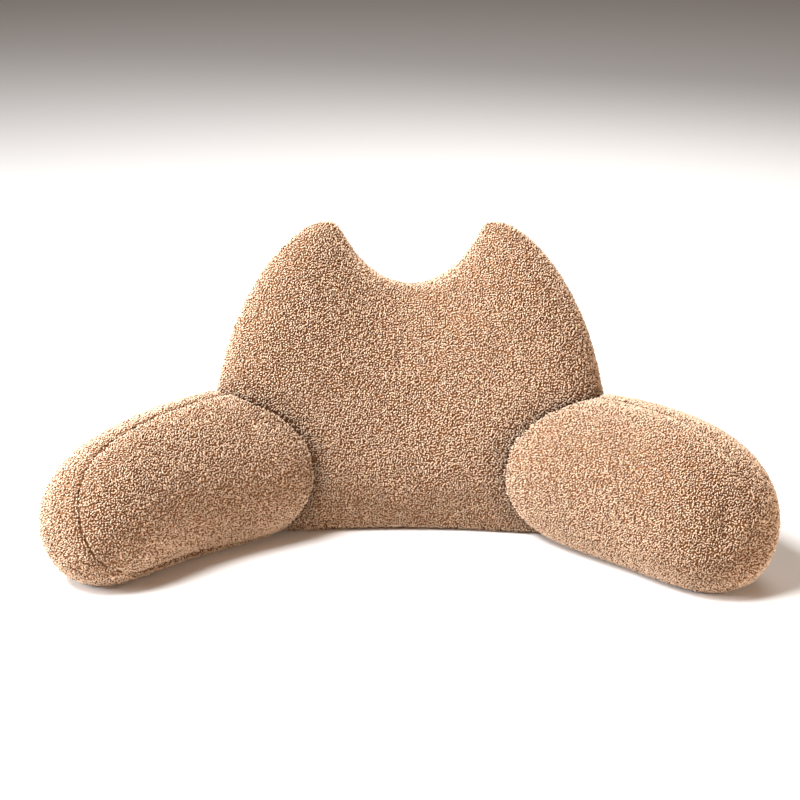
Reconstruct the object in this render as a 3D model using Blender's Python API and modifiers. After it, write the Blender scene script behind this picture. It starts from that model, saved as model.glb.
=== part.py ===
"""Backrest pillow: a crowned back with two ear peaks, and two bolster arms sewn to its front corners.

Metres, +Z up. The pillow stands on its base at Z = 0, faces -Y, and its arms reach forward and out.
The bounding box is centred on X = 0 and Y = 0.
"""

from collections import namedtuple

import bmesh
import bpy
import numpy as np
from mathutils import Matrix, Vector

# Driving sizes of the back
EAR_HEIGHT = 0.412
EAR_CORNER = 0.094
EAR_CORNER_HEIGHT = 0.402
DIP_HEIGHT = 0.316
BACK_HALF_WIDTH = 0.284

# How far the base reaches under the floor before it is pressed flat
BASE_SINK = 0.050

# The back leans away by this share of the height, and its sides bow forward by this much
LEAN = 0.10
BOW = 0.075

# The groove of an arm's seam, and the gap between two sewn pieces
SEAM_DEPTH = 0.005
SEAM_GAP = 0.0003

# The cages are smoothed by this many subdivisions
SMOOTH_LEVELS = 2

EdgePoint = namedtuple("EdgePoint", "across height")
DepthRow = namedtuple("DepthRow", "share front rear")
ArmRing = namedtuple("ArmRing", "across forward half_width half_height centre")
ArmShape = namedtuple("ArmShape", "side fuller taller raised")

# The back's top edge, from the middle of the dip to the inner corner of an ear
TOP_EDGE = (
    EdgePoint(0.000, DIP_HEIGHT),
    EdgePoint(0.034, DIP_HEIGHT + 0.007),
    EdgePoint(0.058, DIP_HEIGHT + 0.024),
    EdgePoint(0.074, DIP_HEIGHT + 0.045),
    EdgePoint(0.085, EAR_CORNER_HEIGHT - 0.019),
    EdgePoint(EAR_CORNER, EAR_CORNER_HEIGHT),
)

# The back's side edge, from that corner round the ear to the corner that the base presses flat
SIDE_EDGE = (
    EdgePoint(EAR_CORNER, EAR_CORNER_HEIGHT),
    EdgePoint(0.108, EAR_HEIGHT),
    EdgePoint(0.134, EAR_HEIGHT),
    EdgePoint(0.168, 0.392),
    EdgePoint(0.206, 0.351),
    EdgePoint(0.239, 0.294),
    EdgePoint(0.260, 0.233),
    EdgePoint(0.270, 0.165),
    EdgePoint(BACK_HALF_WIDTH, 0.090),
    EdgePoint(0.280, 0.010),
    EdgePoint(0.250, -BASE_SINK),
)

# The back's depth in front of and behind its middle, from base to top edge
DEPTHS = (
    DepthRow(0.00, 0.090, 0.080),
    DepthRow(0.25, 0.106, 0.084),
    DepthRow(0.50, 0.096, 0.074),
    DepthRow(0.75, 0.077, 0.060),
    DepthRow(1.00, 0.056, 0.050),
)

# Where the back's cage has its columns and rows, as shares of the width and the height
COLUMNS = (0.00, 0.035, 0.11, 0.21, 0.33, 0.44, 0.56, 0.67, 0.79, 0.89, 0.965, 1.00)
ROWS = (0.00, 0.06, 0.17, 0.32, 0.48, 0.64, 0.79, 0.90, 0.965, 1.00)

# How flat the back's crown stays before it falls to an edge: 2 is an ellipse, and more is flatter
ACROSS_FLATNESS = 3.4
UP_FLATNESS = 2.8

# Above 1 the back's edges are thinner than an ellipse's, and below 1 fuller
EDGE_FULLNESS = 0.80

# One arm, from the ring buried in the back to its round tip
ARM = (
    ArmRing(0.172, 0.000, 0.060, 0.070, 0.088),
    ArmRing(0.196, -0.040, 0.094, 0.102, 0.091),
    ArmRing(0.230, -0.076, 0.104, 0.111, 0.091),
    ArmRing(0.276, -0.114, 0.108, 0.113, 0.090),
    ArmRing(0.328, -0.160, 0.108, 0.110, 0.088),
    ArmRing(0.378, -0.214, 0.102, 0.103, 0.084),
    ArmRing(0.412, -0.262, 0.082, 0.084, 0.078),
    ArmRing(0.430, -0.290, 0.040, 0.041, 0.073),
)

# The arms are stuffed unevenly: how much fuller each ring is on its inner side, taller, and raised
ARMS = {
    "arm_left": ArmShape(
        -1,
        fuller=(0.020, 0.016, -0.006, -0.024, -0.030, -0.020, -0.010, -0.004),
        taller=(0.000, 0.000, 0.001, 0.001, 0.000, -0.001, -0.001, 0.000),
        raised=(0.000, 0.000, 0.000, 0.000, 0.000, 0.000, 0.001, 0.001),
    ),
    "arm_right": ArmShape(
        1,
        fuller=(0.012, 0.011, 0.006, 0.002, -0.002, 0.002, 0.003, 0.002),
        taller=(-0.008, -0.007, -0.003, 0.001, 0.004, 0.007, 0.007, 0.004),
        raised=(0.000, 0.000, 0.000, 0.001, 0.003, 0.004, 0.003, 0.001),
    ),
}

# An arm ring's points in degrees from its outer side, close together at the seams on top and below
TOP_SEAM = 90
SEAM_OFFSETS = (0, 10, 32, 60)

TEDDY_COLOUR = (0.62, 0.40, 0.26, 1.0)
TEDDY_ROUGHNESS = 0.95
TEDDY_SHEEN = 0.5


def clear_scene():
    for obj in list(bpy.data.objects):
        bpy.data.objects.remove(obj, do_unlink=True)


def new_collection(name):
    collection = bpy.data.collections.new(name)
    bpy.context.scene.collection.children.link(collection)
    return collection


def teddy_material(name):
    """Looped teddy fleece: matt, with a soft sheen and no shine."""
    material = bpy.data.materials.new(name)
    material.use_nodes = True
    shader = material.node_tree.nodes["Principled BSDF"]
    shader.inputs["Base Color"].default_value = TEDDY_COLOUR
    shader.inputs["Roughness"].default_value = TEDDY_ROUGHNESS
    shader.inputs["Metallic"].default_value = 0.0
    shader.inputs["Sheen Weight"].default_value = TEDDY_SHEEN
    material.diffuse_color = TEDDY_COLOUR
    return material


def along(points, shares):
    """Points at these shares of the length of a line through the given points."""
    line = np.array(points, float)
    steps = np.linalg.norm(np.diff(line, axis=0), axis=1)
    reach = np.concatenate([[0.0], np.cumsum(steps)]) / steps.sum()
    return np.column_stack([np.interp(shares, reach, line[:, k]) for k in range(line.shape[1])])


def mirrored(points):
    return [EdgePoint(-point.across, point.height) for point in reversed(points)]


def back_grid():
    """The back's front view: a grid of points spread evenly between its four edges."""
    top = along(mirrored(TOP_EDGE[1:]) + list(TOP_EDGE), COLUMNS)
    corner = SIDE_EDGE[-1]
    bottom = along([(-corner.across, corner.height), (corner.across, corner.height)], COLUMNS)
    right = along(list(reversed(SIDE_EDGE)), ROWS)
    left = right * (-1, 1)
    u = np.array(COLUMNS)[None, :, None]
    v = np.array(ROWS)[:, None, None]
    up_down = (1 - v) * bottom[None] + v * top[None]
    left_right = (1 - u) * left[:, None] + u * right[:, None]
    corners = (
        (1 - u) * (1 - v) * bottom[0]
        + u * (1 - v) * bottom[-1]
        + (1 - u) * v * top[0]
        + u * v * top[-1]
    )
    # The ears' rise fades towards the middle, so that the dip has one round crest
    fade = np.concatenate([np.ones_like(u), np.abs(2 * u - 1)], axis=2)
    return up_down + (left_right - corners) * fade


def crown(shares, flatness):
    """0 at both edges and 1 in the middle, round at the edges like a stuffed seam."""
    return (1 - np.abs(2 * np.array(shares) - 1) ** flatness) ** 0.5


def back_cage():
    """Two sheets of points, front and rear, that share their rim."""
    grid = back_grid()
    across = crown(COLUMNS, ACROSS_FLATNESS)
    up = crown(ROWS, UP_FLATNESS)
    shares = [row.share for row in DEPTHS]
    front = np.interp(ROWS, shares, [row.front for row in DEPTHS])
    rear = np.interp(ROWS, shares, [row.rear for row in DEPTHS])
    last_row, last_column = len(ROWS) - 1, len(COLUMNS) - 1
    mesh = bmesh.new()
    sheets = {}
    for side, depth in ((-1, front), (1, rear)):
        for i in range(len(ROWS)):
            for j in range(len(COLUMNS)):
                on_rim = i in (0, last_row) or j in (0, last_column)
                if on_rim and (-side, i, j) in sheets:
                    sheets[side, i, j] = sheets[-side, i, j]
                    continue
                x, z = grid[i, j]
                middle = LEAN * z - BOW * (x / BACK_HALF_WIDTH) ** 2
                y = middle + side * depth[i] * (across[j] * up[i]) ** EDGE_FULLNESS
                sheets[side, i, j] = mesh.verts.new((x, y, z))
    for side in (-1, 1):
        for i in range(last_row):
            for j in range(last_column):
                corners = [(i, j), (i, j + 1), (i + 1, j + 1), (i + 1, j)]
                mesh.faces.new([sheets[side, row, column] for row, column in corners])
    return mesh


def ring_angles():
    """The angles of a ring's points in degrees, from the top seam round to it again."""
    quarter = [TOP_SEAM - offset for offset in SEAM_OFFSETS]
    outer = quarter + [0] + [-angle for angle in reversed(quarter)]
    inner = [2 * TOP_SEAM - angle for angle in reversed(outer[1:-1])]
    return outer + inner


def arm_ring(mesh, ring, tangent, shape, place):
    """One ring across an arm's path, drawn in at its two seams."""
    sideways = np.array([-tangent[1], tangent[0]])
    half_height = ring.half_height + shape.taller[place]
    points = []
    for angle in ring_angles():
        across, rise = np.cos(np.radians(angle)), np.sin(np.radians(angle))
        pull = SEAM_DEPTH if abs(angle) == TOP_SEAM else 0.0
        half_width = ring.half_width + (shape.fuller[place] if shape.side * across < 0 else 0.0)
        x, y = (ring.across * shape.side, ring.forward) + half_width * across * sideways
        z = ring.centre + shape.raised[place] + (half_height - pull) * rise
        points.append(mesh.verts.new((x, y, z)))
    return points


def arm_cage(shape):
    """Rings of points along an arm's path, closed by a point at each end."""
    path = np.array([(ring.across * shape.side, ring.forward) for ring in ARM])
    tangents = np.gradient(path, axis=0)
    tangents /= np.linalg.norm(tangents, axis=1)[:, None]
    mesh = bmesh.new()
    rings = [arm_ring(mesh, ring, tangents[place], shape, place) for place, ring in enumerate(ARM)]
    for near, far in zip(rings, rings[1:]):
        for k in range(len(near)):
            following = (k + 1) % len(near)
            mesh.faces.new((near[k], near[following], far[following], far[k]))
    for points in (rings[0], rings[-1]):
        pole = mesh.verts.new(sum((point.co for point in points), Vector()) / len(points))
        for k, point in enumerate(points):
            mesh.faces.new((point, points[(k + 1) % len(points)], pole))
    return mesh


def smoothed(name, cage, collection):
    """The cage smoothed and pressed flat on the floor, as a new object."""
    bmesh.ops.recalc_face_normals(cage, faces=cage.faces)
    rough = bpy.data.meshes.new(name + "_cage")
    cage.to_mesh(rough)
    cage.free()
    holder = bpy.data.objects.new(name + "_cage", rough)
    collection.objects.link(holder)
    smoothing = holder.modifiers.new("Smooth", "SUBSURF")
    smoothing.levels = SMOOTH_LEVELS
    smoothing.render_levels = SMOOTH_LEVELS
    graph = bpy.context.evaluated_depsgraph_get()
    smooth = bmesh.new()
    smooth.from_mesh(bpy.data.meshes.new_from_object(holder.evaluated_get(graph)))
    bpy.data.objects.remove(holder)
    for vertex in smooth.verts:
        vertex.co.z = max(vertex.co.z, 0.0)
    # Triangles here, so that a cutter grown from this mesh has the very same facets
    bmesh.ops.triangulate(smooth, faces=smooth.faces)
    mesh = bpy.data.meshes.new(name)
    smooth.to_mesh(mesh)
    smooth.free()
    mesh.shade_smooth()
    mesh.materials.append(teddy_material(name + "_teddy"))
    obj = bpy.data.objects.new(name, mesh)
    collection.objects.link(obj)
    return obj


def clearance_cutter(back, collection):
    """The back grown by the seam gap, which shapes the arms' sewn ends."""
    grown = bmesh.new()
    grown.from_mesh(back.data)
    grown.normal_update()
    for vertex in grown.verts:
        vertex.co += vertex.normal * SEAM_GAP
    mesh = bpy.data.meshes.new("seam_cutter")
    grown.to_mesh(mesh)
    grown.free()
    cutter = bpy.data.objects.new("seam_cutter", mesh)
    cutter.hide_render = True
    cutter.display_type = "WIRE"
    collection.objects.link(cutter)
    return cutter


def centre_on_origin(objects):
    """Moves every mesh so that the pillow's bounding box is centred over the origin."""
    points = np.array([vertex.co for obj in objects for vertex in obj.data.vertices])
    middle = (points.min(axis=0) + points.max(axis=0)) / 2
    for obj in objects:
        obj.data.transform(Matrix.Translation((-middle[0], -middle[1], 0)))


def main():
    clear_scene()
    parts = new_collection("backrest_pillow")
    cutters = new_collection("cutters")
    back = smoothed("back_cushion", back_cage(), parts)
    arms = [smoothed(name, arm_cage(shape), parts) for name, shape in ARMS.items()]
    centre_on_origin([back, *arms])
    cutter = clearance_cutter(back, cutters)
    for arm in arms:
        sewn_end = arm.modifiers.new("Sewn_end", "BOOLEAN")
        sewn_end.operation = "DIFFERENCE"
        sewn_end.object = cutter


if __name__ == "__main__":
    main()
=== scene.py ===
"""Looks of a teddy fleece backrest pillow, built piece by piece around its fixed frame.

Each cushion is a filled cover: the frame's solid, remeshed, drawn in, blown up as cloth and creased at
its seams. The fleece is made of curls that stand on the covers. Metres, +Z up, as in the frame.
"""

import math
from collections import namedtuple

import bmesh
import bpy
import numpy as np
from bpy.props import FloatProperty, FloatVectorProperty, IntProperty, PointerProperty
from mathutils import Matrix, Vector
from mathutils.bvhtree import BVHTree


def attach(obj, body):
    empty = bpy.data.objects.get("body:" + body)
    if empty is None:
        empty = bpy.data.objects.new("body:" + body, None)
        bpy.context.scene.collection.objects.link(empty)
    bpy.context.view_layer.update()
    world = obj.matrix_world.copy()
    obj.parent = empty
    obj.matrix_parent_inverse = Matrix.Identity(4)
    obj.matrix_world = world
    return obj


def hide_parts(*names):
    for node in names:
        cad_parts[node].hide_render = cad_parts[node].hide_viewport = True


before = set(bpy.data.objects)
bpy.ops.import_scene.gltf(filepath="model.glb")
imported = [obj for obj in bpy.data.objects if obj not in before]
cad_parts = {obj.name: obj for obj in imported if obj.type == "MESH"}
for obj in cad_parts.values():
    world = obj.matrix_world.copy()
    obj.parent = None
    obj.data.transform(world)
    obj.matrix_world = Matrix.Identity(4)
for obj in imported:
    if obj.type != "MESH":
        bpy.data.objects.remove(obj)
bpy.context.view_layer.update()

bl_info = {
    "name": "Teddy Backrest Pillow",
    "version": (1, 0, 0),
    "blender": (4, 5, 0),
    "location": "3D View > Sidebar > Pillow",
    "description": "Builds a backrest pillow in looped teddy fleece, with its seams, curls and studio",
    "category": "Object",
}

BACK = "back_cushion"
ARMS = ("arm_left", "arm_right")
NEIGHBOURS = {BACK: ARMS, ARMS[0]: (BACK,), ARMS[1]: (BACK,)}

PathPoint = namedtuple("PathPoint", "across forward")
SeamLine = namedtuple("SeamLine", "depth pucker bare lean tuck")
Dent = namedtuple("Dent", "cushion place reach depth")
PilePanel = namedtuple("PilePanel", "piece cushion panel")
Shade = namedtuple("Shade", "reach depth")
Span = namedtuple("Span", "least most")
SoftBox = namedtuple("SoftBox", "name place size share tint")

# An arm's seam lies in the upright sheet over this line, which runs from the back to past its tip
ARM_LINE = (
    PathPoint(0.172, 0.112),
    PathPoint(0.230, 0.036),
    PathPoint(0.276, -0.002),
    PathPoint(0.328, -0.048),
    PathPoint(0.376, -0.102),
    PathPoint(0.407, -0.150),
    PathPoint(0.424, -0.178),
    PathPoint(0.484, -0.274),
)

# The back's rim seam lies in this sheet, which leans with the height and bows with the width
RIM_PLACE = 0.1116
RIM_LEAN = 0.10
RIM_BOW = 0.075
RIM_HALF_WIDTH = 0.284

# Loose triangles of the frame's nodes are joined where they are this close
MERGE_DISTANCE = 0.00001

# The cover rests on the floor where it lies under this height and its normal points down this far
FLOOR_BAND = 0.0012
DOWNWARD = -0.5

# Seams and dents don't draw the cover in where its normal points down this far
STRAIGHT_DOWN = -0.8

# The cover is sewn to its neighbour nearer than this
SEWN_REACH = 0.0009

# How the even faces of a cover are smoothed of their steps
EVEN_FACTOR = 0.5
EVEN_ROUNDS = 4

# The cloth's settings that are the same for every filling
CLOTH = {
    "quality": 5,
    "mass": 0.3,
    "bending_stiffness": 1.5,
    "pin_stiffness": 10,
    "use_pressure": True,
}

# The faces beside a seam are split up to this many seam widths from it, in this many cuts, this smoothly
SPLIT_REACH = 2.5
SPLIT_CUTS = 2
SPLIT_ROUNDING = 0.4

# How far the painted shade reaches from a crease and from a bare seam, and how dark it paints the ground
# there
CREASE_SHADES = (Shade(0.0020, 0.24), Shade(0.0180, 0.30))
SEAM_SHADE = Shade(0.0030, 0.4)

# The share of the ground's painted shade that darkens the colour of its curls
CURL_SHADE = 0.65

# The cover has its full slack this far from its neighbour
SLACK_REACH = 0.030

# An arm puckers below this height, from this far forward, and fully this much further on
PUCKER_TOP = 0.12
PUCKER_START = 0.02
PUCKER_RUN = 0.06

# For each cushion's seam: how deep it is drawn in, how much the cover puckers beside it, half its bare
# line, how far an arm's seam strays to the inner side for each metre that it runs down below the arm's
# top, and how much of the painted crease shade the cushion's colour takes
SEAMS = {
    BACK: SeamLine(0.0010, 0.0, 0.0, 0.0, 1.0),
    ARMS[0]: SeamLine(0.0038, 0.0024, 0.0027, 0.35, 0.8),
    ARMS[1]: SeamLine(0.0016, 0.0014, 0.0, 0.10, 0.3),
}
STRAY_TOP = 0.16

# The right arm's inner side is a little hollow near its tip, with a fold in the hollow
DENTS = (
    Dent(ARMS[1], (0.386, -0.190, 0.105), (0.026, 0.030, 0.034), 0.0085),
    Dent(ARMS[1], (0.390, -0.190, 0.114), (0.007, 0.030, 0.026), 0.0035),
)

# The angle of the slant that the curls lie along on the cloth, and how far they stray from it each way
PILE_FLOW = math.radians(40.0)
PILE_STRAY = math.radians(72.0)

# A curl leans to any side by up to this, and its length, width and height are scaled by these
CURL_LEAN = 0.3
CURL_GROWTH = Span((0.8, 0.5, 0.7), (1.25, 1.2, 1.35))

# A curl is at its full thickness from this share of its length to as much before its other end
CURL_TAPER = 0.25

# Places tried for a curl in each square of the curls' spacing
CURL_TRIES = 4.0

# Curls are pressed up to this lowest place: the floor, and a corner far outside the pillow
LOWEST_PLACE = (-10.0, -10.0, 0.0)

# How pale single curls are dyed, and the cloudy patches of curls, with a patch's size
CURL_DYE = Span(0.86, 1.10)
PATCH_DYE = Span(0.97, 1.02)
PATCH_SIZE = 0.060

# How far apart the ground's loops lie and how high they stand, as the curls over them
LOOP_PITCH = 0.0024
LOOP_HEIGHT = 0.0012

# How wide and how high the twisted fibres of a curl are drawn, so that they show
TWIST_WIDTH = 0.0007
TWIST_HEIGHT = 0.0004

# The fleece is cut in panels, and its curls are one piece for each
PILE_PANELS = (
    PilePanel("back_front_pile_left", BACK, 0),
    PilePanel("back_front_pile_right", BACK, 1),
    PilePanel("back_rear_pile_left", BACK, 2),
    PilePanel("back_rear_pile_right", BACK, 3),
    PilePanel("arm_left_inner_pile", ARMS[0], 0),
    PilePanel("arm_left_outer_pile", ARMS[0], 1),
    PilePanel("arm_right_inner_pile", ARMS[1], 0),
    PilePanel("arm_right_outer_pile", ARMS[1], 1),
)

# Where the studio's soft boxes stand, their sides, their share of the key light, and their tint
SOFT_BOXES = (
    SoftBox("key_soft_box", (-1.50, -0.68, 2.85), 1.2, 1.0, "#F4F9FF"),
    SoftBox("left_soft_box", (-2.6, -0.7, 1.2), 1.2, 0.43, "#F4F9FF"),
    SoftBox("front_soft_box", (2.3, -1.4, 0.8), 1.0, 0.14, "#FFEBD6"),
    SoftBox("rear_soft_box", (0.6, 2.0, 1.9), 1.6, 0.15, "#FFFFFF"),
)

# What the camera and the soft boxes aim at, and the side of the floor
AIM = Vector((-0.012, 0.0, 0.2))
FLOOR_SIZE = 24.0


def linear(text):
    """An sRGB hex colour as linear red, green, blue and alpha."""
    parts = [int(text[k : k + 2], 16) / 255 for k in (1, 3, 5)]
    return [p / 12.92 if p <= 0.04045 else ((p + 0.055) / 1.055) ** 2.4 for p in parts] + [1.0]


class CoverSettings(bpy.types.PropertyGroup):
    """How the covers are filled and sewn."""

    weave: FloatProperty(
        name="Cover mesh", description="Side of the faces that the cover is made of",
        default=0.006, min=0.004, unit="LENGTH",
    )
    pile_depth: FloatProperty(
        name="Pile depth", description="How far the cover lies under the tips of its curls",
        default=0.0022, min=0.0, unit="LENGTH",
    )
    swell: FloatProperty(
        name="Swell", description="The most that the filling pushes the cover out of its shape",
        default=0.0035, min=0.0, unit="LENGTH",
    )
    slack: FloatProperty(
        name="Slack", description="How much smaller the cover starts, before it is filled",
        default=0.0015, min=0.0, unit="LENGTH",
    )
    pressure: FloatProperty(
        name="Pressure", description="Push of the filling on the cover", default=10.0, min=0.0,
    )
    spare: FloatProperty(
        name="Spare cloth", description="How much larger the cover is cut than its filling",
        default=0.01, min=0.0, max=0.2, subtype="FACTOR",
    )
    stretch: FloatProperty(
        name="Stretch", description="How hard the cover resists being stretched", default=5.0, min=0.1,
    )
    settling: IntProperty(
        name="Settling", description="Steps in which the cover settles", default=20, min=1,
    )
    seam_width: FloatProperty(
        name="Seam width", description="Half the width of a seam's groove",
        default=0.0032, min=0.001, unit="LENGTH",
    )
    pucker_pitch: FloatProperty(
        name="Pucker pitch", description="Distance between two puckers beside a seam",
        default=0.017, min=0.005, unit="LENGTH",
    )
    pucker_reach: FloatProperty(
        name="Pucker reach", description="How far puckers reach from a seam",
        default=0.020, min=0.005, unit="LENGTH",
    )


class PileSettings(bpy.types.PropertyGroup):
    """The curls of the fleece."""

    spacing: FloatProperty(
        name="Spacing", description="Least distance between two curls",
        default=0.0024, min=0.002, unit="LENGTH",
    )
    length: FloatProperty(
        name="Length", description="Length of a curl's footprint",
        default=0.0040, min=0.001, unit="LENGTH",
    )
    radius: FloatProperty(
        name="Radius", description="Radius of a curl's twisted yarn",
        default=0.0013, min=0.0002, unit="LENGTH",
    )
    bend: FloatProperty(
        name="Bend", description="How far a curl bends to its side",
        default=0.0012, min=0.0, unit="LENGTH",
    )
    rise: FloatProperty(
        name="Rise", description="How far a curl's middle stands over its ends",
        default=0.0018, min=0.0, unit="LENGTH",
    )
    seed: IntProperty(name="Seed", description="Changes where the curls stand", default=7, min=0)


class FleeceColours(bpy.types.PropertyGroup):
    """The dyed fleece, with the colours of its painted highlight and painted shade."""

    # Painted highlight and shade: a curl is painted paler at its crest and darker at its root, by height
    # alone
    tip: FloatVectorProperty(
        name="Tip", description="Colour of a curl's crest", size=4, subtype="COLOR",
        min=0.0, max=1.0, default=linear("#F1D1B1"),
    )
    root: FloatVectorProperty(
        name="Root", description="Colour of a curl where it leaves the cover", size=4, subtype="COLOR",
        min=0.0, max=1.0, default=linear("#B57D4F"),
    )
    # The ground's own colour, painted darker than the curls as painted shade of the deep pile between them
    ground: FloatVectorProperty(
        name="Ground", description="Colour of the knitted ground between the curls", size=4,
        subtype="COLOR", min=0.0, max=1.0, default=linear("#7C5236"),
    )
    # Painted highlight: the raised middle of each of the ground's loops is painted paler than its edges
    loops: FloatVectorProperty(
        name="Loops", description="Colour of the pale middles of the ground's loops", size=4,
        subtype="COLOR", min=0.0, max=1.0, default=linear("#9B6E48"),
    )
    # Painted shade: the ground's colour is mixed toward this dark colour in creases and in a seam's bare
    # line
    crease: FloatVectorProperty(
        name="Crease", description="Colour of the ground where it is tucked into a crease or a seam", size=4,
        subtype="COLOR", min=0.0, max=1.0, default=linear("#2E1C12"),
    )
    bloom: FloatVectorProperty(
        name="Bloom", description="Colour of the loose fibres that catch light at the edges", size=4,
        subtype="COLOR", min=0.0, max=1.0, default=linear("#FFF1E0"),
    )


class StageSettings(bpy.types.PropertyGroup):
    """The studio."""

    distance: FloatProperty(
        name="Distance", description="From the camera to the pillow", default=2.4, min=0.5, unit="LENGTH",
    )
    elevation: FloatProperty(
        name="Elevation", description="How far the camera looks down",
        default=math.radians(20.0), subtype="ANGLE",
    )
    azimuth: FloatProperty(
        name="Azimuth", description="How far the camera stands to one side",
        default=math.radians(0.8), subtype="ANGLE",
    )
    lens: FloatProperty(name="Lens", description="Focal length in millimetres", default=82.6, min=10.0)
    key: FloatProperty(name="Key light", description="Power of the key soft box", default=219.0, min=0.0)
    ambient: FloatProperty(
        name="Ambient", description="Strength of the light from all round", default=0.10, min=0.0,
    )
    air: FloatVectorProperty(
        name="Air", description="Colour of the light from all round", size=4, subtype="COLOR",
        min=0.0, max=1.0, default=linear("#FFDDC2"),
    )
    floor: FloatVectorProperty(
        name="Floor", description="Colour of the floor", size=4, subtype="COLOR",
        min=0.0, max=1.0, default=linear("#EEE9E4"),
    )


def add_node(tree, kind, inputs=(), **settings):
    """Adds a node, sets its properties, and sets or links its inputs."""
    made = tree.nodes.new(kind)
    for name, value in settings.items():
        setattr(made, name, value)
    for name, value in dict(inputs).items():
        if isinstance(value, bpy.types.NodeSocket):
            tree.links.new(value, made.inputs[name])
        else:
            made.inputs[name].default_value = value
    return made


def new_object(name, data):
    """A new object in the scene, with its mesh, lamp or camera."""
    obj = bpy.data.objects.new(name, data)
    bpy.context.scene.collection.objects.link(obj)
    return obj


def new_material(name, inputs):
    """A new material, its nodes, and its shader with the given inputs set."""
    material = bpy.data.materials.new(name)
    material.use_nodes = True
    shader = material.node_tree.nodes["Principled BSDF"]
    for socket, value in inputs.items():
        shader.inputs[socket].default_value = value
    return material, material.node_tree, shader


def evaluated_mesh(obj):
    """The mesh that an object's modifiers make, as a mesh of its own."""
    graph = bpy.context.evaluated_depsgraph_get()
    return bpy.data.meshes.new_from_object(obj.evaluated_get(graph))


def points_of(mesh):
    """The mesh's points, one a row."""
    points = np.empty(len(mesh.vertices) * 3)
    mesh.vertices.foreach_get("co", points)
    return points.reshape(-1, 3)


def normals_of(mesh):
    """The mesh's normals at its points, one a row."""
    normals = np.empty(len(mesh.vertices) * 3)
    mesh.vertex_normals.foreach_get("vector", normals)
    return normals.reshape(-1, 3)


def set_points(mesh, points):
    """Moves the mesh's points to the given places."""
    mesh.vertices.foreach_set("co", points.ravel())
    mesh.update()


def on_floor(points, outward):
    """Which points of a cover rest on the floor."""
    return (points[:, 2] < FLOOR_BAND) & (outward[:, 2] < DOWNWARD)


def sheet_offset(cushion, points):
    """How far each point is from the sheet that holds its cushion's seam, below 0 on the inner side."""
    if cushion == BACK:
        x, y, z = points.T
        return y - (RIM_PLACE + RIM_LEAN * z - RIM_BOW * (x / RIM_HALF_WIDTH) ** 2)
    side = -1 if cushion == ARMS[0] else 1
    line = np.array([(side * p.across, p.forward) for p in ARM_LINE])
    offset = np.full(len(points), np.inf)
    for start, end in zip(line, line[1:]):
        run = end - start
        away = points[:, :2] - start
        share = np.clip(away @ run / (run @ run), 0, 1)
        across = away - share[:, None] * run
        turned = across @ np.array([-run[1], run[0]]) * side
        distance = np.linalg.norm(across, axis=1) * np.where(turned < 0, -1, 1)
        nearer = np.abs(distance) < np.abs(offset)
        offset[nearer] = distance[nearer]
    return offset + SEAMS[cushion].lean * np.maximum(STRAY_TOP - points[:, 2], 0)


def merged_copy(node):
    """A copy of a frame node whose loose triangles are joined into one closed mesh."""
    whole = bmesh.new()
    whole.from_mesh(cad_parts[node].data)
    bmesh.ops.remove_doubles(whole, verts=whole.verts, dist=MERGE_DISTANCE)
    mesh = bpy.data.meshes.new(node + "_cover")
    whole.to_mesh(mesh)
    whole.free()
    return mesh


def distance_to(nodes, points):
    """The distance from each point to the nearest of the nodes."""
    nearest = np.full(len(points), np.inf)
    for node in nodes:
        mesh = merged_copy(node)
        tree = BVHTree.FromPolygons([v.co for v in mesh.vertices], [p.vertices for p in mesh.polygons])
        # The last of what find_nearest gives is the distance
        found = [tree.find_nearest(Vector(point))[-1] for point in points]
        nearest = np.minimum(nearest, found)
        bpy.data.meshes.remove(mesh)
    return nearest


def remeshed(mesh, voxel):
    """The mesh made again of even faces, and smoothed of its steps."""
    holder = new_object("cover_holder", mesh)
    remesh = holder.modifiers.new("Weave", "REMESH")
    remesh.mode = "VOXEL"
    remesh.voxel_size = voxel
    smooth = holder.modifiers.new("Even", "SMOOTH")
    smooth.factor = EVEN_FACTOR
    smooth.iterations = EVEN_ROUNDS
    made = evaluated_mesh(holder)
    bpy.data.objects.remove(holder)
    return made


def blown_up(mesh, held, cover):
    """The mesh after its filling has pushed it out as cloth, where it isn't held."""
    holder = new_object("cover_cloth", mesh)
    group = holder.vertex_groups.new(name="Held")
    group.add([int(index) for index in np.flatnonzero(held)], 1.0, "REPLACE")
    cloth = holder.modifiers.new("Filling", "CLOTH")
    fabric = cloth.settings
    for name, value in CLOTH.items():
        setattr(fabric, name, value)
    fabric.tension_stiffness = cover.stretch
    fabric.compression_stiffness = cover.stretch
    fabric.shear_stiffness = cover.stretch / 2
    fabric.uniform_pressure_force = cover.pressure
    fabric.effector_weights.gravity = 0
    fabric.vertex_group_mass = group.name
    fabric.shrink_min = -cover.spare
    cloth.collision_settings.use_collision = False
    cloth.point_cache.frame_start = 1
    cloth.point_cache.frame_end = cover.settling
    scene = bpy.context.scene
    for step in range(1, cover.settling + 1):
        scene.frame_set(step)
    made = evaluated_mesh(holder)
    scene.frame_set(1)
    bpy.data.objects.remove(holder)
    return made


def fine_near_seam(mesh, cushion, band):
    """Splits the faces beside the seam, so that its groove has enough points."""
    fine = bmesh.new()
    fine.from_mesh(mesh)
    fine.verts.ensure_lookup_table()
    offset = sheet_offset(cushion, np.array([v.co for v in fine.verts]))
    near = [e for e in fine.edges if all(abs(offset[v.index]) < band for v in e.verts)]
    bmesh.ops.subdivide_edges(
        fine, edges=near, cuts=SPLIT_CUTS, use_grid_fill=True, smooth=SPLIT_ROUNDING
    )
    fine.to_mesh(mesh)
    fine.free()


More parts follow.
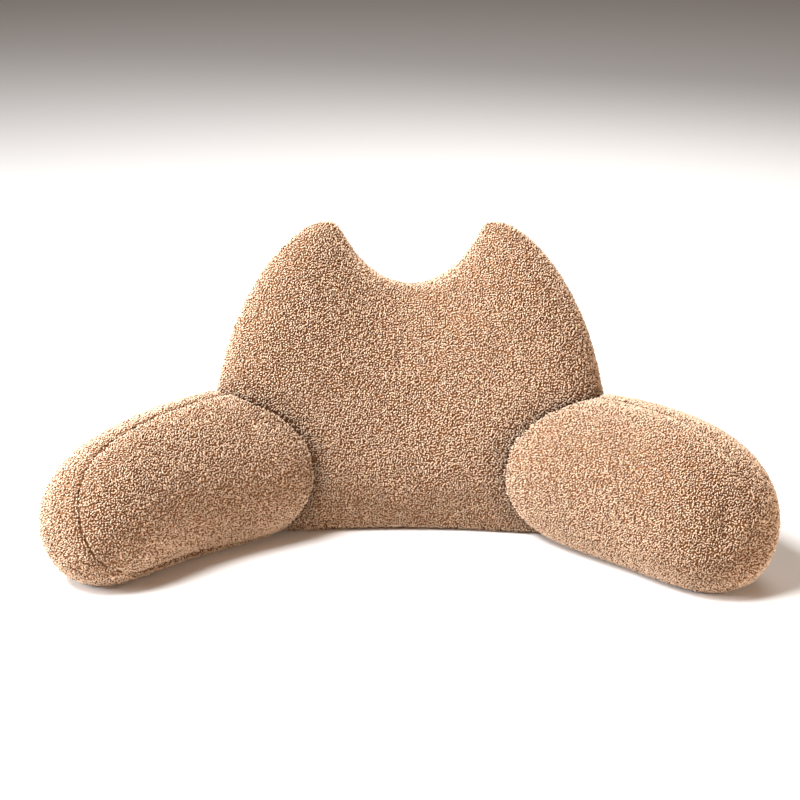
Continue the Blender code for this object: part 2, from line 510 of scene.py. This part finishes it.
def cover_mesh(cushion, cover):
    """One cushion's cover: drawn in, filled, and creased along its seam."""
    mesh = remeshed(merged_copy(cushion), cover.weave)
    solid = points_of(mesh)
    outward = normals_of(mesh)
    under = on_floor(solid, outward)
    to_neighbour = distance_to(NEIGHBOURS[cushion], solid)
    mark(mesh, "to_neighbour", "FLOAT", "POINT", to_neighbour)
    offset = np.full(len(solid), -cover.pile_depth)
    loose = np.clip(to_neighbour / SLACK_REACH, 0, 1)
    start = solid + outward * (offset - cover.slack * loose)[:, None]
    start[under, 2] = solid[under, 2]
    set_points(mesh, start)
    at_seam = np.abs(sheet_offset(cushion, solid)) < cover.weave
    swollen = blown_up(mesh, under | (to_neighbour < SEWN_REACH) | at_seam, cover)
    push = np.einsum("ij,ij->i", points_of(swollen) - start, outward) - cover.slack * loose
    offset += loose * cover.swell * np.tanh(np.maximum(push, 0) / cover.swell)
    bpy.data.meshes.remove(swollen)
    filled = solid + outward * offset[:, None]
    filled[under, 2] = solid[under, 2]
    set_points(mesh, filled)
    crease(mesh, cushion, cover)
    return mesh


def seam_sink(points, cushion, cover):
    """How far a seam draws the cover in at each point, with its puckers near an arm's tip."""
    seam = SEAMS[cushion]
    offset = sheet_offset(cushion, points)
    groove = seam.depth * np.exp(-((offset / cover.seam_width) ** 2))
    ripple = 0.5 + 0.5 * np.cos(2 * np.pi * points[:, 2] / cover.pucker_pitch)
    low = np.clip((PUCKER_TOP - points[:, 2]) / PUCKER_TOP, 0, 1)
    tip = np.clip((-points[:, 1] - PUCKER_START) / PUCKER_RUN, 0, 1)
    pucker = seam.pucker * ripple * low * tip * np.exp(-((offset / cover.pucker_reach) ** 2))
    return groove + pucker


def crease(mesh, cushion, cover):
    """Draws the cover in along its seam and at its dents."""
    fine_near_seam(mesh, cushion, SPLIT_REACH * cover.seam_width)
    points = points_of(mesh)
    outward = normals_of(mesh)
    sink = seam_sink(points, cushion, cover)
    for dent in DENTS:
        if dent.cushion == cushion:
            away = (points - np.array(dent.place)) / np.array(dent.reach)
            sink += dent.depth * np.exp(-(away**2).sum(axis=1))
    sink[outward[:, 2] < STRAIGHT_DOWN] = 0.0
    points = points - outward * sink[:, None]
    points[:, 2] = np.maximum(points[:, 2], 0.0)
    set_points(mesh, points)


def mark(mesh, name, kind, domain, values):
    """Stores a value for each point or face of the mesh, under a name."""
    attribute = mesh.attributes.new(name, kind, domain)
    attribute.data.foreach_set("value", np.asarray(values, np.int32 if kind == "INT" else np.float32))


def inside_patch(mesh, patch):
    """The points of a patch whose neighbours all lie in it, so that the pile reaches up to its rim."""
    ends = np.empty(len(mesh.edges) * 2, np.int32)
    mesh.edges.foreach_get("vertices", ends)
    ends = ends.reshape(-1, 2)
    rim = ends[patch[ends].sum(axis=1) == 1]
    inside = patch.copy()
    inside[rim.ravel()] = False
    return inside


def shade_of(cushion, to_neighbour, from_seam):
    """How much painted shade each point's colour takes, in the crease beside a neighbour and in a seam's
    bare line.
    """
    seam = SEAMS[cushion]
    crease_shade = sum(shade.depth * np.exp(-((to_neighbour / shade.reach) ** 2)) for shade in CREASE_SHADES)
    seam_shade = SEAM_SHADE.depth * np.exp(-((from_seam / SEAM_SHADE.reach) ** 2)) * (seam.bare > 0)
    return np.maximum(crease_shade * seam.tuck, seam_shade)


def mark_pile(mesh, cushion):
    """Marks where curls grow, how far each point is from the seam, how much painted shade it takes, and
    which panel each face is in.
    """
    points = points_of(mesh)
    outward = normals_of(mesh)
    to_neighbour = np.empty(len(points))
    mesh.attributes["to_neighbour"].data.foreach_get("value", to_neighbour)
    sewn = inside_patch(mesh, to_neighbour < SEWN_REACH)
    mark(mesh, "pile", "FLOAT", "POINT", ~(on_floor(points, outward) | sewn))
    from_seam = sheet_offset(cushion, points)
    mark(mesh, "seam_offset", "FLOAT", "POINT", from_seam)
    # Painted shade for the ground's and the curls' colours, darker in creases and in a seam's bare line
    mark(mesh, "shade", "FLOAT", "POINT", shade_of(cushion, to_neighbour, from_seam))
    centres = np.empty(len(mesh.polygons) * 3)
    mesh.polygons.foreach_get("center", centres)
    centres = centres.reshape(-1, 3)
    outer = sheet_offset(cushion, centres) > 0
    right = centres[:, 0] > 0
    mark(mesh, "panel", "INT", "FACE", 2 * outer + right if cushion == BACK else outer)


def build_cushion(cushion):
    """One cushion in its ground cloth, in place of its solid."""
    mesh = cover_mesh(cushion, bpy.context.scene.pillow_cover)
    mark_pile(mesh, cushion)
    mesh.shade_smooth()
    mesh.materials.clear()
    mesh.materials.append(ground_knit())
    piece = new_object(cushion + "_cover", mesh)
    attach(piece, "root")
    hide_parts(cushion)
    return piece


def ground_knit():
    """Polyester fleece under the curls: lower loops of the same pile, each painted pale in its middle and
    dark at its edges, with painted crease shade.
    """
    name = "teddy_ground_knit"
    if name in bpy.data.materials:
        return bpy.data.materials[name]
    colours = bpy.context.scene.pillow_colours
    material, tree, shader = new_material(name, {"Roughness": 0.95, "Specular IOR Level": 0.2})
    place = add_node(tree, "ShaderNodeTexCoord").outputs["Object"]
    loops = add_node(
        tree, "ShaderNodeTexVoronoi", {"Vector": place, "Scale": 1 / LOOP_PITCH}, feature="SMOOTH_F1"
    )
    height = add_node(
        tree, "ShaderNodeMapRange",
        {
            "Value": loops.outputs["Distance"],
            "From Min": 0.1,
            "From Max": 0.7,
            "To Min": 1.0,
            "To Max": 0.0,
        },
    )
    bump = add_node(
        tree, "ShaderNodeBump",
        {"Height": height.outputs["Result"], "Distance": LOOP_HEIGHT, "Strength": 0.9},
    )
    tree.links.new(bump.outputs["Normal"], shader.inputs["Normal"])
    # Painted highlight and shade: each loop's colour follows its height, paler in its raised middle and
    # darker at its low edges
    # In a colour Mix, sockets 6 and 7 are its two colours, and 2 is its result
    painted_height_shade = add_node(
        tree, "ShaderNodeMix", {0: height.outputs["Result"], 6: colours.ground, 7: colours.loops},
        data_type="RGBA",
    )
    # Painted shade: the ground's colour is darkened toward the crease colour in creases and in a seam's bare
    # line
    painted_shade_mask = add_node(tree, "ShaderNodeAttribute", attribute_name="shade").outputs["Fac"]
    shaded = add_node(
        tree, "ShaderNodeMix", {0: painted_shade_mask, 6: painted_height_shade.outputs[2], 7: colours.crease}, data_type="RGBA"
    )
    tree.links.new(shaded.outputs[2], shader.inputs["Base Color"])
    return material


def fleece_curls():
    """Looped teddy fleece, dyed polyester: matt curls with painted paler crests and darker roots, painted
    crease shade, and a pale bloom at the edges.
    """
    name = "teddy_fleece_curls"
    if name in bpy.data.materials:
        return bpy.data.materials[name]
    colours = bpy.context.scene.pillow_colours
    material, tree, shader = new_material(
        name,
        {
            "Roughness": 0.55,
            "Specular IOR Level": 0.5,
            "Sheen Weight": 0.45,
            "Sheen Roughness": 0.45,
            "Sheen Tint": colours.bloom,
        },
    )
    place = add_node(tree, "ShaderNodeTexCoord").outputs["Object"]
    crest = add_node(tree, "ShaderNodeAttribute", attribute_name="crest").outputs["Fac"]
    dye = add_node(tree, "ShaderNodeAttribute", attribute_name="dye").outputs["Fac"]
    clouds = add_node(
        tree, "ShaderNodeTexNoise", {"Vector": place, "Scale": 1 / PATCH_SIZE, "Detail": 2.0}
    )
    cloud = add_node(
        tree, "ShaderNodeMapRange",
        {
            "Value": clouds.outputs["Fac"],
            "From Min": 0.3,
            "From Max": 0.7,
            "To Min": PATCH_DYE.least,
            "To Max": PATCH_DYE.most,
        },
    )
    lot = add_node(
        tree, "ShaderNodeMapRange", {"Value": dye, "To Min": CURL_DYE.least, "To Max": CURL_DYE.most}
    )
    both = add_node(
        tree, "ShaderNodeMath", {0: cloud.outputs["Result"], 1: lot.outputs["Result"]},
        operation="MULTIPLY",
    )
    # Painted shade: the curls' colour is darkened in creases and beside a seam's bare line
    painted_shade_mask = add_node(tree, "ShaderNodeAttribute", attribute_name="shade").outputs["Fac"]
    painted_shade_factor = add_node(
        tree, "ShaderNodeMapRange", {"Value": painted_shade_mask, "To Min": 1.0, "To Max": 1.0 - CURL_SHADE}
    )
    dye_and_painted_shade = add_node(
        tree, "ShaderNodeMath", {0: both.outputs["Value"], 1: painted_shade_factor.outputs["Result"]},
        operation="MULTIPLY",
    )
    # Painted highlight and shade: a curl's colour runs from the dark root to the pale tip by its height
    # alone
    painted_height_shade = add_node(
        tree, "ShaderNodeMix", {0: crest, 6: colours.root, 7: colours.tip}, data_type="RGBA"
    )
    # The curls' colour: their painted height shading, scaled by their random dye and their painted crease
    # shade
    dyed = add_node(
        tree, "ShaderNodeVectorMath", {0: painted_height_shade.outputs[2], "Scale": dye_and_painted_shade.outputs["Value"]},
        operation="SCALE",
    )
    tree.links.new(dyed.outputs["Vector"], shader.inputs["Base Color"])
    twist = add_node(
        tree, "ShaderNodeTexNoise", {"Vector": place, "Scale": 1 / TWIST_WIDTH, "Detail": 2.0}
    )
    bump = add_node(
        tree, "ShaderNodeBump",
        {"Height": twist.outputs["Fac"], "Distance": TWIST_HEIGHT, "Strength": 0.7},
    )
    tree.links.new(bump.outputs["Normal"], shader.inputs["Normal"])
    return material


PILE_INPUTS = (
    ("Cover", "NodeSocketGeometry"),
    ("Panel", "NodeSocketInt"),
    ("Spacing", "NodeSocketFloat"),
    ("Length", "NodeSocketFloat"),
    ("Radius", "NodeSocketFloat"),
    ("Bend", "NodeSocketFloat"),
    ("Rise", "NodeSocketFloat"),
    ("Seam gap", "NodeSocketFloat"),
    ("Seed", "NodeSocketInt"),
    ("Fleece", "NodeSocketMaterial"),
)


def pile_tree():
    """Geometry nodes that stand curls on a cover, away from its seam, and keep those of one panel."""
    name = "teddy_pile"
    if name in bpy.data.node_groups:
        return bpy.data.node_groups[name]
    tree = bpy.data.node_groups.new(name, "GeometryNodeTree")
    for socket, kind in PILE_INPUTS:
        tree.interface.new_socket(socket, in_out="INPUT", socket_type=kind)
    tree.interface.new_socket("Pile", in_out="OUTPUT", socket_type="NodeSocketGeometry")
    given = add_node(tree, "NodeGroupInput").outputs
    rooted = root_points(tree, given)
    curl = one_curl(tree, given)
    spin = add_node(
        tree, "FunctionNodeRandomValue",
        {
            0: (-CURL_LEAN, -CURL_LEAN, PILE_FLOW - PILE_STRAY),
            1: (CURL_LEAN, CURL_LEAN, PILE_FLOW + PILE_STRAY),
            "Seed": given["Seed"],
        },
        data_type="FLOAT_VECTOR",
    )
    turned = add_node(tree, "FunctionNodeEulerToRotation", {"Euler": spin.outputs[0]})
    aim = add_node(
        tree, "FunctionNodeRotateRotation",
        {"Rotation": rooted["aim"], "Rotate By": turned.outputs["Rotation"]},
        rotation_space="LOCAL",
    )
    growth = add_node(
        tree, "FunctionNodeRandomValue",
        {0: CURL_GROWTH.least, 1: CURL_GROWTH.most, "Seed": given["Seed"]},
        data_type="FLOAT_VECTOR",
    )
    curls = add_node(
        tree, "GeometryNodeInstanceOnPoints",
        {
            "Points": rooted["points"],
            "Instance": curl,
            "Rotation": aim.outputs["Rotation"],
            "Scale": growth.outputs[0],
        },
    )
    lot = add_node(tree, "FunctionNodeRandomValue", {"Seed": given["Seed"]}, data_type="FLOAT")
    dyed = add_node(
        tree, "GeometryNodeStoreNamedAttribute",
        {"Geometry": curls.outputs["Instances"], "Name": "dye", "Value": lot.outputs[1]},
        data_type="FLOAT", domain="INSTANCE",
    )
    real = add_node(tree, "GeometryNodeRealizeInstances", {"Geometry": dyed.outputs["Geometry"]})
    place = add_node(tree, "GeometryNodeInputPosition")
    above = add_node(
        tree, "ShaderNodeVectorMath", {0: place.outputs["Position"], 1: LOWEST_PLACE},
        operation="MAXIMUM",
    )
    pressed = add_node(
        tree, "GeometryNodeSetPosition",
        {"Geometry": real.outputs["Geometry"], "Position": above.outputs["Vector"]},
    )
    finished = add_node(
        tree, "GeometryNodeSetMaterial",
        {"Geometry": pressed.outputs["Geometry"], "Material": given["Fleece"]},
    )
    add_node(tree, "NodeGroupOutput", {"Pile": finished.outputs["Geometry"]})
    return tree


def root_points(tree, given):
    """The points that curls stand on, evenly strewn, and the turn that stands a curl up on each."""
    grows = add_node(tree, "GeometryNodeInputNamedAttribute", {"Name": "pile"}, data_type="FLOAT")
    tries = add_node(tree, "ShaderNodeMath", {0: given["Spacing"], 1: -2.0}, operation="POWER")
    crowd = add_node(
        tree, "ShaderNodeMath", {0: tries.outputs["Value"], 1: CURL_TRIES}, operation="MULTIPLY"
    )
    strewn = add_node(
        tree, "GeometryNodeDistributePointsOnFaces",
        {
            "Mesh": given["Cover"],
            "Distance Min": given["Spacing"],
            "Density Max": crowd.outputs["Value"],
            "Density Factor": grows.outputs["Attribute"],
            "Seed": given["Seed"],
        },
        distribute_method="POISSON",
    )
    panel = add_node(tree, "GeometryNodeInputNamedAttribute", {"Name": "panel"}, data_type="INT")
    other = add_node(
        tree, "FunctionNodeCompare", {"A": panel.outputs["Attribute"], "B": given["Panel"]},
        data_type="INT", operation="NOT_EQUAL",
    )
    offset = add_node(
        tree, "GeometryNodeInputNamedAttribute", {"Name": "seam_offset"}, data_type="FLOAT"
    )
    away = add_node(tree, "ShaderNodeMath", {0: offset.outputs["Attribute"]}, operation="ABSOLUTE")
    sewn = add_node(
        tree, "FunctionNodeCompare", {0: away.outputs["Value"], 1: given["Seam gap"]},
        data_type="FLOAT", operation="LESS_THAN",
    )
    bare = add_node(
        tree, "FunctionNodeBooleanMath", {0: other.outputs["Result"], 1: sewn.outputs["Result"]},
        operation="OR",
    )
    kept = add_node(
        tree, "GeometryNodeDeleteGeometry",
        {"Geometry": strewn.outputs["Points"], "Selection": bare.outputs["Boolean"]},
        domain="POINT",
    )
    return {"points": kept.outputs["Geometry"], "aim": strewn.outputs["Rotation"]}


def one_curl(tree, given):
    """A short bent nub of yarn, closed and pointed at both ends, with its crest marked: 12 triangles."""
    half = add_node(tree, "ShaderNodeMath", {0: given["Length"], 1: 0.5}, operation="MULTIPLY")
    back_half = add_node(tree, "ShaderNodeMath", {0: given["Length"], 1: -0.5}, operation="MULTIPLY")
    top = add_node(tree, "ShaderNodeMath", {0: given["Rise"], 1: 2.0}, operation="MULTIPLY")
    start = add_node(tree, "ShaderNodeCombineXYZ", {"X": back_half.outputs["Value"]})
    middle = add_node(tree, "ShaderNodeCombineXYZ", {"Y": given["Bend"], "Z": top.outputs["Value"]})
    end = add_node(tree, "ShaderNodeCombineXYZ", {"X": half.outputs["Value"]})
    line = add_node(
        tree, "GeometryNodeCurveQuadraticBezier",
        {
            "Resolution": 3,
            "Start": start.outputs["Vector"],
            "Middle": middle.outputs["Vector"],
            "End": end.outputs["Vector"],
        },
    )
    upright = add_node(tree, "GeometryNodeSetCurveNormal", {"Curve": line.outputs["Curve"]}, mode="Z_UP")
    share = add_node(tree, "GeometryNodeSplineParameter")
    mirrored = add_node(
        tree, "ShaderNodeMath", {0: share.outputs["Factor"], 1: 0.5}, operation="PINGPONG"
    )
    fullness = add_node(
        tree, "ShaderNodeMapRange",
        {"Value": mirrored.outputs["Value"], "From Min": 0.0, "From Max": CURL_TAPER},
    )
    ring = add_node(
        tree, "GeometryNodeCurvePrimitiveCircle", {"Resolution": 3, "Radius": given["Radius"]}
    )
    # Turned so that one of its three corners is the crest
    profile = add_node(
        tree, "GeometryNodeTransform",
        {"Geometry": ring.outputs["Curve"], "Rotation": (0.0, 0.0, -math.pi / 2)},
    )
    yarn = add_node(
        tree, "GeometryNodeCurveToMesh",
        {
            "Curve": upright.outputs["Curve"],
            "Profile Curve": profile.outputs["Geometry"],
            "Scale": fullness.outputs["Result"],
        },
    )
    closed = add_node(
        tree, "GeometryNodeMergeByDistance",
        {"Geometry": yarn.outputs["Mesh"], "Distance": MERGE_DISTANCE},
    )
    place = add_node(tree, "GeometryNodeInputPosition")
    height = add_node(tree, "ShaderNodeSeparateXYZ", {"Vector": place.outputs["Position"]})
    highest = add_node(tree, "ShaderNodeMath", {0: given["Rise"], 1: given["Radius"]}, operation="ADD")
    crest = add_node(
        tree, "ShaderNodeMapRange", {"Value": height.outputs["Z"], "From Max": highest.outputs["Value"]}
    )
    marked = add_node(
        tree, "GeometryNodeStoreNamedAttribute",
        {"Geometry": closed.outputs["Geometry"], "Name": "crest", "Value": crest.outputs["Result"]},
        data_type="FLOAT", domain="POINT",
    )
    return marked.outputs["Geometry"]


def build_pile(panel, cover):
    """The curls of one panel of fleece, as a plain mesh."""
    settings = bpy.context.scene.pillow_pile
    holder = new_object(panel.piece + "_holder", cover.data)
    tree = pile_tree()
    grow = holder.modifiers.new("Curls", "NODES")
    grow.node_group = tree
    values = {
        "Panel": panel.panel,
        "Spacing": settings.spacing,
        "Length": settings.length,
        "Radius": settings.radius,
        "Bend": settings.bend,
        "Rise": settings.rise,
        "Seam gap": SEAMS[panel.cushion].bare,
        "Seed": settings.seed,
        "Fleece": fleece_curls(),
    }
    for item in tree.interface.items_tree:
        if item.name in values:
            grow[item.identifier] = values[item.name]
    mesh = evaluated_mesh(holder)
    bpy.data.objects.remove(holder)
    # Only the marks that the curls' look needs stay on them
    for name in ("pile", "panel", "seam_offset", "to_neighbour"):
        if name in mesh.attributes:
            mesh.attributes.remove(mesh.attributes[name])
    piece = new_object(panel.piece, mesh)
    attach(piece, "root")
    return piece


class PILLOW_OT_back(bpy.types.Operator):
    """Builds the back: its filled cover with the dip and the two ears"""

    bl_idname = "pillow.back"
    bl_label = "Back"

    def execute(self, context):
        build_cushion(BACK)
        return {"FINISHED"}


class PILLOW_OT_arms(bpy.types.Operator):
    """Builds the two bolster arms, sewn to the back's front corners"""

    bl_idname = "pillow.arms"
    bl_label = "Arms"

    def execute(self, context):
        for arm in ARMS:
            build_cushion(arm)
        return {"FINISHED"}


class PILLOW_OT_pile(bpy.types.Operator):
    """Grows the fleece's curls on every panel of the covers"""

    bl_idname = "pillow.pile"
    bl_label = "Pile"

    def execute(self, context):
        for panel in PILE_PANELS:
            build_pile(panel, bpy.data.objects[panel.cushion + "_cover"])
        return {"FINISHED"}


class PILLOW_OT_stage(bpy.types.Operator):
    """Sets up the floor, the soft boxes and the camera"""

    bl_idname = "pillow.stage"
    bl_label = "Studio"

    def execute(self, context):
        settings = context.scene.pillow_stage
        build_floor(settings)
        build_lights(settings)
        build_camera(settings)
        return {"FINISHED"}


def build_floor(settings):
    """A plain matt studio floor."""
    sheet = bmesh.new()
    bmesh.ops.create_grid(sheet, x_segments=1, y_segments=1, size=FLOOR_SIZE / 2)
    mesh = bpy.data.meshes.new("studio_floor")
    sheet.to_mesh(mesh)
    sheet.free()
    paper = {"Base Color": settings.floor, "Roughness": 0.9, "Specular IOR Level": 0.1}
    mesh.materials.append(new_material("studio_paper", paper)[0])
    new_object("studio_floor", mesh)


def build_lights(settings):
    """Soft boxes round the pillow, and an even light from all sides."""
    for box in SOFT_BOXES:
        lamp = bpy.data.lights.new(box.name, "AREA")
        lamp.shape = "SQUARE"
        lamp.size = box.size
        lamp.energy = settings.key * box.share
        lamp.color = linear(box.tint)[:3]
        light = new_object(box.name, lamp)
        light.location = box.place
        light.rotation_euler = (AIM - light.location).to_track_quat("-Z", "Y").to_euler()
    world = bpy.data.worlds.new("studio")
    world.use_nodes = True
    background = world.node_tree.nodes["Background"]
    background.inputs["Color"].default_value = settings.air
    background.inputs["Strength"].default_value = settings.ambient
    bpy.context.scene.world = world


def build_camera(settings):
    """The camera, aimed at the pillow's middle from in front and above."""
    across, up = settings.azimuth, settings.elevation
    away = Vector((math.sin(across) * math.cos(up), -math.cos(across) * math.cos(up), math.sin(up)))
    camera = new_object("camera", bpy.data.cameras.new("camera"))
    camera.data.lens = settings.lens
    camera.location = AIM + away * settings.distance
    camera.rotation_euler = (-away).to_track_quat("-Z", "Y").to_euler()
    scene = bpy.context.scene
    scene.camera = camera
    scene.view_settings.view_transform = "Standard"


class PILLOW_PT_panel(bpy.types.Panel):
    """Lists the pieces of the pillow and their settings"""

    bl_idname = "PILLOW_PT_panel"
    bl_label = "Backrest Pillow"
    bl_space_type = "VIEW_3D"
    bl_region_type = "UI"
    bl_category = "Pillow"

    def draw(self, context):
        for operator in OPERATORS:
            self.layout.operator(operator.bl_idname)
        for name, group in SETTINGS.items():
            box = self.layout.box()
            for prop in group.__annotations__:
                box.prop(getattr(context.scene, name), prop)


OPERATORS = (PILLOW_OT_stage, PILLOW_OT_back, PILLOW_OT_arms, PILLOW_OT_pile)
SETTINGS = {
    "pillow_cover": CoverSettings,
    "pillow_pile": PileSettings,
    "pillow_colours": FleeceColours,
    "pillow_stage": StageSettings,
}


def register():
    for cls in (*SETTINGS.values(), *OPERATORS, PILLOW_PT_panel):
        bpy.utils.register_class(cls)
    for name, group in SETTINGS.items():
        setattr(bpy.types.Scene, name, PointerProperty(type=group))


def unregister():
    for name in SETTINGS:
        delattr(bpy.types.Scene, name)
    for cls in (PILLOW_PT_panel, *reversed(OPERATORS), *SETTINGS.values()):
        bpy.utils.unregister_class(cls)


def main():
    register()
    bpy.ops.pillow.stage()
    bpy.ops.pillow.back()
    bpy.ops.pillow.arms()
    bpy.ops.pillow.pile()


if __name__ == "__main__":
    main()
